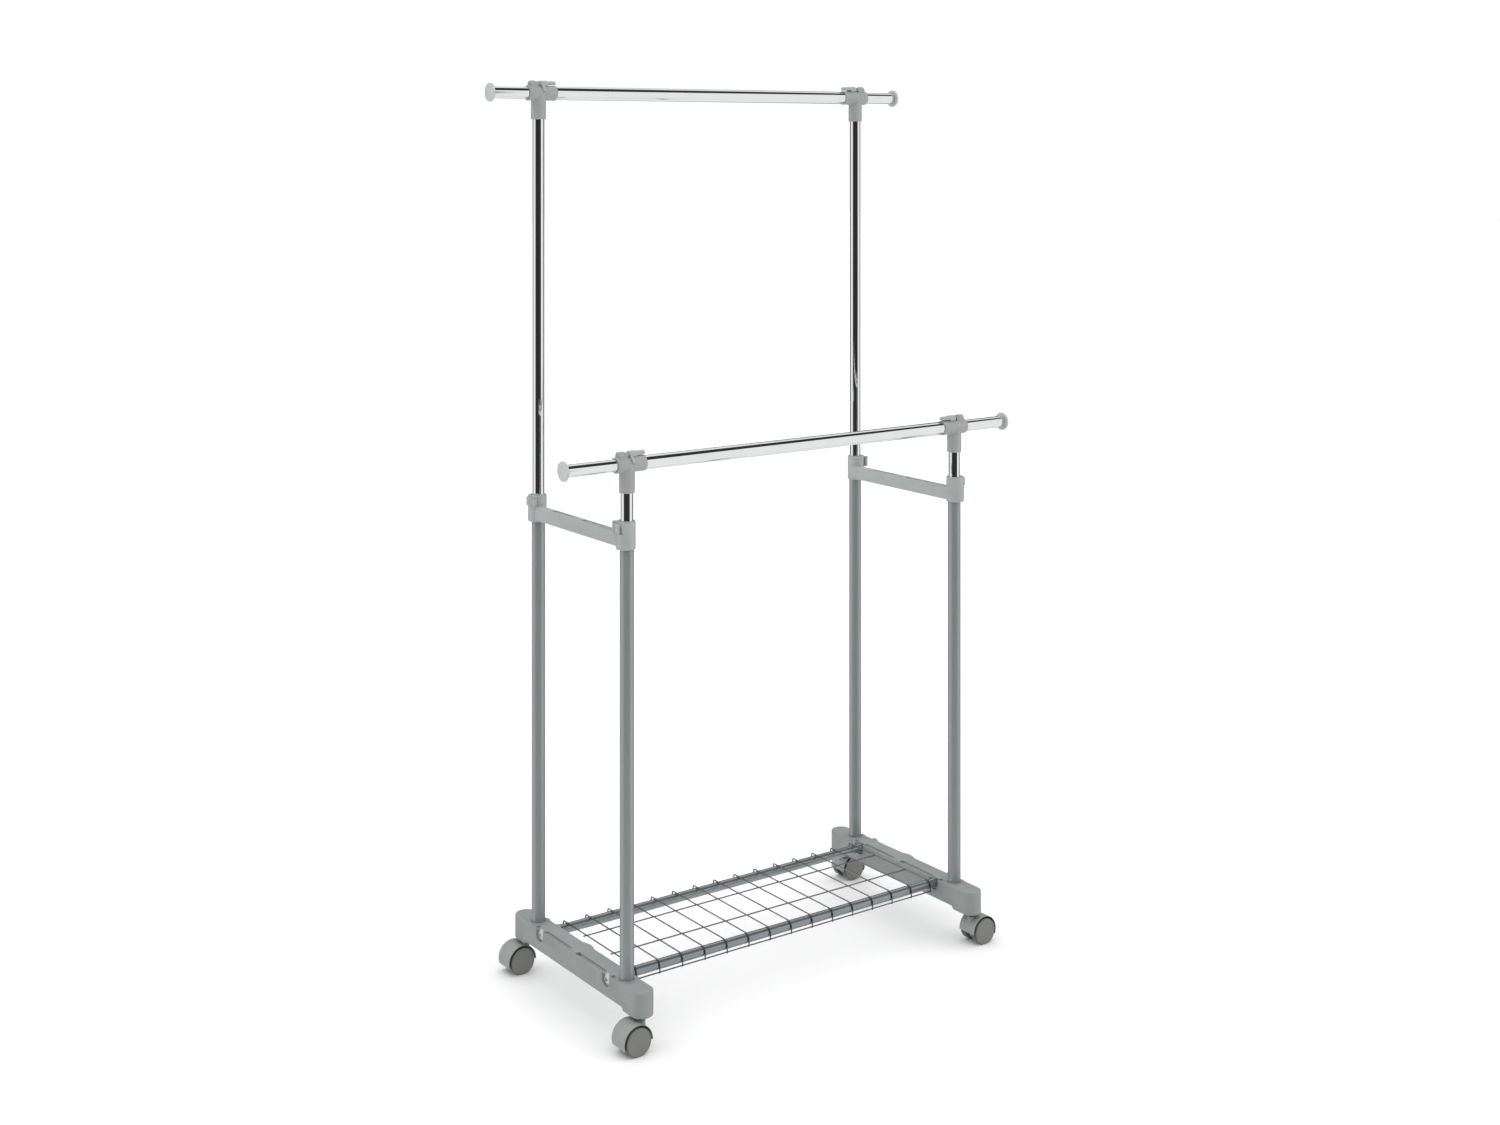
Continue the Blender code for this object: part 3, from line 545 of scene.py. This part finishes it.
def grid_mesh():
    """Cross wires hooked over both shelf tubes, welded to three long wires."""
    radius = 1.25 * MM
    reach = 9 * MM + radius + GAP
    path = [(0, -SHELF_Y - reach, -12.8 * MM)]
    path += [(0, y - SHELF_Y, z) for y, z in circle(reach, 13, (0, 0), 180, -90)]
    path += [(0, y, z) for y, z in circle(3.5 * MM, 7, (SHELF_Y + 8.5 * MM, reach - 3.5 * MM), 90, -90)]
    path.append((0, SHELF_Y + 12 * MM, -2 * MM))
    pitch = 49.2 * MM
    shapes = [shifted(wire(path, radius), x=(i - 7) * pitch) for i in range(15)]
    length = 7 * pitch + 5 * MM
    weld = radius * 1.6
    for y, z in ((-48 * MM, reach - weld), (48 * MM, reach - weld), (-SHELF_Y - reach + weld, -11 * MM)):
        shapes.append(wire([(-length, y, z), (length, y, z)], radius))
    return mesh_of(together(*shapes))


show("shelf_wires", grid_mesh(), WIRE, "shelf_grid", Matrix.Translation((0, 0, SHELF_Z)))


# Uprights and rails.


def show_tube(name, node, axis, radius, wall, look):
    """A fine tube as long as its CAD node."""
    low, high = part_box(node)
    half = (high[axis] - low[axis]) / 2
    data = pipe(radius, radius - wall, -half, half)
    show(name, along_x(data) if axis == 0 else data, look, node, Matrix.Translation((low + high) / 2))


for name in CORNERS:
    show_tube(f"upright_{name}", f"lower_upright_{name}", 2, TUBE_R, 1.2 * MM, PAINT)
    show_tube(f"telescope_{name}", f"upper_tube_{name}", 2, SLIM_R, MM, CHROME)
    show_tube(f"extension_tube_{name}", f"rail_extension_{name}", 0, SLIM_R, MM, CHROME)
for name in ("front", "back"):
    show_tube(f"main_rail_{name}", f"rail_{name}", 0, TUBE_R, 1.2 * MM, CHROME)


def cap_mesh():
    """An end cap looking along Z, its face at 0."""
    plug = SLIM_R - 1.3 * MM
    profile = [(0, 0), (CAP_R - 2.2 * MM, 0), (CAP_R - 1.2 * MM, -0.15 * MM), (CAP_R, -0.5 * MM, 0.9 * MM)]
    profile += [(CAP_R, -CAP_H, 0.7 * MM), (SLIM_R + 1.5 * MM, -CAP_H), (plug, -CAP_H), (plug, -16 * MM, MM)]
    profile += [(plug - 2 * MM, -16 * MM), (plug - 2 * MM, -CAP_H + 0.6 * MM), (0, -CAP_H + 0.6 * MM)]
    return mesh_of(turned(profile, 96))


cap = cap_mesh()
for name, (sx, sy) in CORNERS.items():
    low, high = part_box(f"end_cap_{name}")
    place = Matrix.Translation((low.x if sx < 0 else high.x, sy * HALF_Y, RAIL_Z[sy]))
    show(f"cap_{name}", cap, CAP, f"end_cap_{name}", place @ Matrix.Rotation(sx * pi / 2, 4, "Y"))


# Crossbars and their levers.


def lever_pin(sx, sy):
    angle = radians(PIN_ANGLE)
    reach = COLLAR_R + GAP + LUG_R
    return sx * reach * cos(angle), -sy * reach * sin(angle)


def around(sx, sy, angle):
    """A direction at an angle from outwards, positive towards the bar."""
    return sx * cos(radians(angle)), -sy * sin(radians(angle))


def crossbar_mesh(sx):
    left, right = -14.6 * MM, 1.0 * MM
    low, high = 863.5 * MM, 889 * MM
    section = [(left, low, 1.2 * MM), (right, low, 1.2 * MM), (right, high, 1.2 * MM), (left, high, 1.2 * MM)]
    bar = along_y(slab(round_points(section), -HALF_Y, HALF_Y))
    collars, lugs, holes, slots = [], [], [], []
    for sy in (-1, 1):
        centre = (sx * COLLAR_SHIFT, sy * HALF_Y)
        profile = [(0, COLLAR_LOW), (COLLAR_R, COLLAR_LOW, 2.4 * MM)]
        profile += [(COLLAR_R, COLLAR_TOP - 1.6 * MM, 0.5 * MM), (COLLAR_R - 0.5 * MM, COLLAR_TOP - 1.5 * MM)]
        profile += [(COLLAR_R - 0.5 * MM, COLLAR_TOP, 0.7 * MM), (0, COLLAR_TOP)]
        collars.append(shifted(turned(profile, 72), *centre))
        pin_x, pin_y = lever_pin(sx, sy)
        reach = (pin_x**2 + pin_y**2) ** 0.5
        outline = [(reach * 0.5, -LUG_R), *circle(LUG_R, 15, (reach, 0), -90, 180), (reach * 0.5, LUG_R)]
        turn = Matrix.Rotation(atan2(pin_y, pin_x), 4, "Z")
        for start in (LEVER_LOW - GAP - 2.2 * MM, LEVER_HIGH + GAP):
            lug = slab(outline, start, start + 2.2 * MM, 0.4 * MM, 0.4 * MM)
            lugs.append(shifted(moved(lug, turn), *centre))
        pin_hole = rod(1.8 * MM, LEVER_LOW - 3 * MM, COLLAR_TOP + 0.01, 24)
        holes.append(shifted(pin_hole, centre[0] + pin_x, centre[1] + pin_y))
        low_end, step, high_end = COLLAR_LOW - 0.01, COLLAR_TOP - 6 * MM, COLLAR_TOP + 0.01
        bore = [(0, low_end), (TUBE_R + GAP, low_end), (TUBE_R + GAP, step)]
        bore += [(SLIM_R + GAP, step), (SLIM_R + GAP, high_end), (0, high_end)]
        holes.append(shifted(turned(bore, 60), y=sy * HALF_Y))
        # An L-shaped slot beside the lever's tip: its foot, then its upright.
        for start, wide, tall in ((-2.4 * MM, 7 * MM, 1.8 * MM), (-2.3 * MM, 2 * MM, 12.5 * MM)):
            start += LEVER_LOW
            x, y = around(sx, sy, -(TIP_ANGLE + 6))
            slot = block((COLLAR_R - 3 * MM, -wide / 2, start), (COLLAR_R + 3 * MM, wide / 2, start + tall))
            slots.append(shifted(moved(slot, Matrix.Rotation(atan2(y, x), 4, "Z")), *centre))
    recesses = []
    for s in (-1, 1):
        start, end = sorted((s * 18 * MM, s * 88 * MM))
        corners = ((left + 3 * MM, start, high - 2.5 * MM), (right - 3 * MM, end, high + 0.01))
        recesses.append(block(*corners, 1.5 * MM))
    cut = [together(*shapes) for shapes in (holes, recesses, slots[::2], slots[1::2])]
    return softened(joined(bar, [together(*collars), together(*lugs)], cut), 0.35 * MM)


for name, side in (("left", -1), ("right", 1)):
    place = Matrix.Translation((side * HALF_X, 0, 0))
    show(f"collar_bar_{name}", crossbar_mesh(side), PALE_PAINTED_LIGHT, f"crossbar_{name}", place)


def collar_lever_mesh(sx, sy):
    """A collar's lever from its own pin."""
    pin_x, pin_y = lever_pin(sx, sy)
    inner = COLLAR_R + GAP
    outer = inner + LEVER_WALL
    spread = [PIN_ANGLE - 9 - (PIN_ANGLE - 9 + TIP_ANGLE) * i / 24 for i in range(25)]
    outside = [tuple(outer * v for v in around(sx, sy, a)) for a in spread]
    inside = [tuple(inner * v for v in around(sx, sy, a)) for a in reversed(spread)]
    outline = outside + inside
    area = sum(a[0] * b[1] - b[0] * a[1] for a, b in zip(outline, outline[1:] + outline[:1]))
    outline = outline if area > 0 else outline[::-1]
    shell = slab(outline, LEVER_LOW, LEVER_HIGH)
    barrel = shifted(rod(LUG_R, LEVER_LOW, LEVER_HIGH, 48), pin_x, pin_y)
    pin = shifted(rod(1.5 * MM, LEVER_LOW - 1.9 * MM, LEVER_HIGH + 2.2 * MM, 24, 0.3 * MM), pin_x, pin_y)
    pad = [(0, inner + 0.8 * MM), (7.2 * MM, inner + 0.8 * MM), (7.2 * MM, outer + 1.4 * MM, 0.8 * MM)]
    pad += [(5.4 * MM, outer + 1.4 * MM, 0.4 * MM), (4.9 * MM, outer + 0.9 * MM, 0.4 * MM)]
    pad.append((0, outer + 0.9 * MM))
    x, y = around(sx, sy, PIN_ANGLE - 18)
    pad = moved(along_x(turned(pad, 64)), Matrix.Rotation(atan2(y, x), 4, "Z"))
    pad = shifted(pad, z=(LEVER_LOW + LEVER_HIGH) / 2)
    back = Matrix.Translation((-pin_x, -pin_y, 0))
    mesh = joined(moved(shell, back), [moved(part, back) for part in (barrel, pin, pad)])
    return softened(mesh, 0.3 * MM)


for name, (sx, sy) in CORNERS.items():
    pin_x, pin_y = lever_pin(sx, sy)
    place = Matrix.Translation((sx * (HALF_X + COLLAR_SHIFT) + pin_x, sy * HALF_Y + pin_y, 0))
    show(f"collar_flip_{name}", collar_lever_mesh(sx, sy), PALE_PAINTED_LIGHT, f"collar_lever_{name}", place)


# Tees and their levers. In their own frame X points inwards along the rail.


def tee_mesh():
    socket = [(0, -49.5 * MM), (TEE_R, -49.5 * MM, 1.2 * MM), (TEE_R, 0), (0, 0)]
    sleeve = [(0, -25 * MM), (SLEEVE_R, -25 * MM, 1.2 * MM), (SLEEVE_R, 35 * MM, 1.2 * MM), (0, 35 * MM)]
    arch = [(-CLAMP_R, 4 * MM), (CLAMP_R, 4 * MM), *circle(CLAMP_R, 25, (0, CLAMP_TOP - CLAMP_R), 0, 180)]
    clamp = along_yz(slab(arch, -20 * MM, -8.5 * MM, 1.5 * MM, 0.8 * MM))
    shapes = [along_x(turned(sleeve)), clamp]
    for s in (-1, 1):
        ear = [*circle(4 * MM, 15, (CAM_U, CAM_Z), -90, 180)]
        ear += [(-9.5 * MM, CAM_Z + 4 * MM), (-9.5 * MM, 8 * MM), (CAM_U, 8 * MM)]
        start, end = sorted((s * 5.5 * MM, s * CLAMP_R))
        shapes.append(along_y(slab(ear, start, end)))
    solid = melted(joined(turned(socket), shapes), 0.55 * MM, 5)
    roof = -(TUBE_R + GAP) - 2.5 * MM
    cuts = [rod(SLIM_R + GAP, -0.06, roof)]
    bore = [(0, -0.035), (SLIM_R + GAP, -0.035), (SLIM_R + GAP, 1.7 * MM), (TUBE_R + GAP, 1.7 * MM)]
    cuts.append(along_x(turned([*bore, (TUBE_R + GAP, 0.045), (0, 0.045)])))
    cuts.append(shifted(along_y(rod(2.1 * MM, -0.02, 0.02, 24)), CAM_U, 0, CAM_Z))
    return joined(solid, cut=cuts)


tee = tee_mesh()
for name, (sx, sy) in CORNERS.items():
    place = Matrix.Translation((sx * HALF_X, sy * HALF_Y, RAIL_Z[sy]))
    turn = Matrix.Rotation(0 if sx < 0 else pi, 4, "Z")
    show(f"tee_joint_{name}", tee, TEE, f"tee_{name}", place @ turn)


def tee_lever_mesh():
    """The cam lever from its own pin."""
    start = 6.1 * MM
    end = 35 * MM - CAM_U + 0.5 * MM
    shell_low = SLEEVE_R + GAP - CAM_Z
    side_low = shell_low - 1.2 * MM
    centre = CLAMP_TOP - CLAMP_R - CAM_Z
    arch = [(-CLAMP_R, side_low), (CLAMP_R, side_low), *circle(CLAMP_R, 33, (0, centre), 0, 180)]
    hollow = [(-5.8 * MM, side_low - 10 * MM), (5.8 * MM, side_low - 10 * MM)]
    hollow += circle(5.8 * MM, 25, (0, centre - 0.6 * MM), 0, 180)
    shell = along_yz(slab(arch, start, LEVER_STEP, 1.0 * MM, 0.8 * MM))
    slim = [(-4.2 * MM, side_low), (6.6 * MM, side_low)]
    slim += circle(5.4 * MM, 25, (1.2 * MM, centre + 1.6 * MM), 0, 180)
    handle = along_yz(slab(slim, LEVER_STEP - 3 * MM, end, 0, 1.2 * MM))
    barrel = along_y(rod(3 * MM, -5.2 * MM, 5.2 * MM, 32))
    pin = along_y(rod(1.8 * MM, -CLAMP_R, CLAMP_R, 24, 0.3 * MM))
    neck = block((0, -4.5 * MM, -2.7 * MM), (start + 3 * MM, 4.5 * MM, 2.7 * MM))
    inner = SLEEVE_R + GAP
    low = atan2(3 * MM, 16.8 * MM)
    angles = [pi - low - (radians(70) - low) * i / 20 for i in range(21)]
    skirt = [(16.8 * MM * cos(a), 16.8 * MM * sin(a) - CAM_Z) for a in angles]
    skirt += [((inner - 2 * MM) * cos(a), (inner - 2 * MM) * sin(a) - CAM_Z) for a in reversed(angles)]
    skirt = along_yz(slab(skirt[::-1], start + 0.5 * MM, 8.7 * MM - CAM_U))
    under = block((LEVER_STEP, -0.01, side_low - 10 * MM), (end + 0.01, 0.01, 15.6 * MM - CAM_Z))
    cut = [along_yz(slab(hollow, start + 6 * MM, LEVER_STEP + 0.2 * MM)), under]
    cut.append(shifted(along_x(rod(inner, -0.02, 0.06, 96)), z=-CAM_Z))
    return softened(joined(shell, [handle, barrel, pin, neck, skirt], cut), 0.35 * MM)


tee_lever = tee_lever_mesh()
for name, (sx, sy) in CORNERS.items():
    place = Matrix.Translation((sx * (HALF_X - CAM_U), sy * HALF_Y, RAIL_Z[sy] + CAM_Z))
    turn = Matrix.Rotation(0 if sx < 0 else pi, 4, "Z")
    show(f"cam_lever_{name}", tee_lever, PALE_PAINTED_LIGHT, f"tee_lever_{name}", place @ turn)


# Casters.


def hood_mesh():
    """The hood from its swivel axis at the floor, trailing towards -X."""
    bore = 27.7 * MM
    arc = [radians(ARC_START + ARC_SWEEP * i / 60) for i in range(61)]
    roof = [(HOOD_R * cos(a), HOOD_R * sin(a)) for a in arc]
    roof += [(bore * cos(a), bore * sin(a)) for a in reversed(arc)]
    web = [((bore + 0.5 * MM) * cos(a), (bore + 0.5 * MM) * sin(a)) for a in arc]
    web += circle(HUB_R, 17, (0, 0), ARC_START + ARC_SWEEP + WEB_STEP, 360 - ARC_SWEEP - 2 * WEB_STEP)
    half = 21 * MM
    hood = along_y(slab(roof, -half, half, 0.35 * MM, 0.35 * MM, 3))
    add = [along_y(slab(web, -5 * MM, 5 * MM)), along_y(rod(3 * MM, -20.5 * MM, 20.5 * MM, 32))]
    neck = shifted(turned([(0, 0), (6.8 * MM, 0), (6.8 * MM, 28 * MM, 0.6 * MM), (0, 28 * MM)]), x=TRAIL)
    cut = [shifted(rod(4.3 * MM, 4.5 * MM, 0.05, 32), x=TRAIL)]
    mesh = softened(joined(hood, [*add, neck], cut), 0.3 * MM)
    mesh.materials.clear()
    mesh.materials.append(HOOD)
    mesh.materials.append(HOOD_PAINTED_SHADE)
    # The hood's inner faces behind the stem get the near-black painted shade, for the dark gap over the
    # wheels.
    for face in mesh.polygons:
        at = face.center
        radius = (at.x**2 + at.z**2) ** 0.5
        if radius < bore + 0.1 * MM and at.x < TRAIL - 8 * MM:
            face.material_index = 1
    return mesh


def wheel_mesh():
    """A wheel looking along Z, its outer face at 22.5 mm; the tread, then the disc."""
    profile = [(3.3 * MM, 7.5 * MM), (22 * MM, 7.5 * MM), (WHEEL_R, 7.5 * MM, 1.6 * MM)]
    profile += [(WHEEL_R, 22.5 * MM, 1.7 * MM), (23.2 * MM, 22.5 * MM, 0.3 * MM), (22.9 * MM, 22.1 * MM)]
    profile += [(22.2 * MM, 22.1 * MM), (21.9 * MM, 22.4 * MM, 0.3 * MM), (12 * MM, 22.3 * MM)]
    profile += [(0, 22.2 * MM), (0, 21 * MM), (3.3 * MM, 21 * MM)]
    mesh = mesh_of(turned(profile, 96))
    mesh.materials.append(DISC)
    mesh.materials.append(TREAD_AND_PAINTED_SHADE)
    for face in mesh.polygons:
        # The tread and the wheel's inner side towards the web take the near-black finish: the tread's darker
        # rubber, and painted shade on the inner faces.
        at = face.center
        radius = (at.x**2 + at.y**2) ** 0.5
        if radius > 24.2 * MM or at.z < 20 * MM:
            face.material_index = 1
    return mesh


hood = hood_mesh()
wheel = wheel_mesh()
stem_low, stem_high = (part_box("caster_stem_fl")[i].z for i in (0, 1))
stem_profile = [(0, stem_low), (4 * MM, stem_low, 0.5 * MM), (4 * MM, 53.3 * MM)]
stem_profile.append((7.2 * MM, 53.3 * MM, 0.6 * MM))
stem_profile += [(7.2 * MM, BOSS_LOW - GAP, 0.6 * MM), (5.5 * MM, BOSS_LOW - GAP), (5.5 * MM, stem_high, MM)]
stem = mesh_of(turned([*stem_profile, (0, stem_high)], 48))
for name, (sx, sy) in CORNERS.items():
    turn = Matrix.Rotation(0 if sx < 0 else pi, 4, "Z")
    axis = (sx * HALF_X, sy * STEM_Y)
    show(f"stem_{name}", stem, STEEL, f"caster_stem_{name}", Matrix.Translation((*axis, 0)))
    # The hood is drawn about its wheels' axle.
    place = Matrix.Translation((*axis, WHEEL_R)) @ turn @ Matrix.Translation((-TRAIL, 0, 0))
    show(f"hood_{name}", hood, [HOOD, HOOD_PAINTED_SHADE], f"caster_hood_{name}", place)
    for label, s in (("a", -1), ("b", 1)):
        node = f"caster_wheel_{name}_{label}"
        hub = Matrix.Translation((sx * (HALF_X + TRAIL), axis[1], WHEEL_R))
        show(f"wheel_{name}_{label}", wheel, [DISC, TREAD_AND_PAINTED_SHADE], node, hub @ Matrix.Rotation(-s * pi / 2, 4, "X"))


# Studio.

floor = helper(([(-30, -30, 0), (30, -30, 0), (30, 30, 0), (-30, 30, 0)], [(0, 1, 2, 3)]))
floor.name = "studio_floor"
floor.data.materials.append(finish("studio_floor", (0.93, 0.93, 0.93), 0.9, drift=0.004))
floor.visible_glossy = False

# A white studio with a dark sector low before the rack and another low behind it. One more, high over
# the front, is in mirrored light only. They draw the dark lines on the chrome. The camera sees white.
CAMERA_TURN = radians(-35.77)
STUDIO_LEVEL = 1.85
MIRRORED_LEVEL = 1.12
world = bpy.data.worlds.new("studio")
bpy.context.scene.world = world
world.use_nodes = True
nodes, links = world.node_tree.nodes, world.node_tree.links
nodes.clear()
out = nodes.new("ShaderNodeOutputWorld")


def math_node(operation, one, two=None):
    made = nodes.new("ShaderNodeMath")
    made.operation = operation
    for i, value in enumerate((one, two)):
        if value is None:
            continue
        if isinstance(value, (int, float)):
            made.inputs[i].default_value = value
        else:
            links.new(value, made.inputs[i])
    return made.outputs[0]


def ramp(value, start, end):
    """0 up to start, 1 from end, smooth between."""
    made = nodes.new("ShaderNodeMapRange")
    made.interpolation_type = "SMOOTHSTEP"
    made.inputs["From Min"].default_value = start
    made.inputs["From Max"].default_value = end
    links.new(value, made.inputs["Value"])
    return made.outputs["Result"]


way = nodes.new("ShaderNodeTexCoord").outputs["Generated"]
split = nodes.new("ShaderNodeSeparateXYZ")
links.new(way, split.inputs[0])
x, y, z = split.outputs
flat_length = math_node("SQRT", math_node("ADD", math_node("MULTIPLY", x, x), math_node("MULTIPLY", y, y)))
towards = (sin(CAMERA_TURN), -cos(CAMERA_TURN))
along = math_node("ADD", math_node("MULTIPLY", x, towards[0]), math_node("MULTIPLY", y, towards[1]))
turn_cos = math_node("DIVIDE", along, math_node("MAXIMUM", flat_length, 0.001))
level = math_node("SUBTRACT", 1, ramp(math_node("ABSOLUTE", z), 0.42, 0.55))
front_sector = ramp(turn_cos, 0.50, 0.60)
back_sector = ramp(math_node("MULTIPLY", turn_cos, -1), 0.40, 0.50)
sectors = math_node("MULTIPLY", math_node("ADD", front_sector, back_sector), level)
overhead = math_node("MULTIPLY", ramp(z, 0.58, 0.64), math_node("SUBTRACT", 1, ramp(y, 0.08, 0.20)))
mirrored = math_node("SUBTRACT", 1, math_node("MULTIPLY", math_node("MAXIMUM", sectors, overhead), 0.965))
diffuse = math_node("SUBTRACT", 1, math_node("MULTIPLY", sectors, 0.9))
mirrored = math_node("MULTIPLY", mirrored, MIRRORED_LEVEL)
diffuse = math_node("MULTIPLY", diffuse, STUDIO_LEVEL)
path = nodes.new("ShaderNodeLightPath")
by_mirror = path.outputs["Is Glossy Ray"]
mirrored = math_node("MULTIPLY", mirrored, by_mirror)
diffuse = math_node("MULTIPLY", diffuse, math_node("SUBTRACT", 1, by_mirror))
strength = math_node("ADD", mirrored, diffuse)
lit = nodes.new("ShaderNodeBackground")
links.new(strength, lit.inputs["Strength"])
seen = nodes.new("ShaderNodeBackground")
seen.inputs["Color"].default_value = (1, 1, 1, 1)
pick = nodes.new("ShaderNodeMixShader")
links.new(path.outputs["Is Camera Ray"], pick.inputs[0])
links.new(lit.outputs[0], pick.inputs[1])
links.new(seen.outputs[0], pick.inputs[2])
links.new(pick.outputs[0], out.inputs[0])

lens = bpy.data.cameras.new("camera")
lens.lens = 46.6
lens.sensor_width = 36
lens.shift_y = -0.282
camera = bpy.data.objects.new("camera", lens)
bpy.context.scene.collection.objects.link(camera)
camera.location = (-2.197, -3.044, 1.577)
camera.rotation_euler = (pi / 2, 0, CAMERA_TURN)
bpy.context.scene.camera = camera
bpy.context.scene.view_settings.view_transform = "Standard"
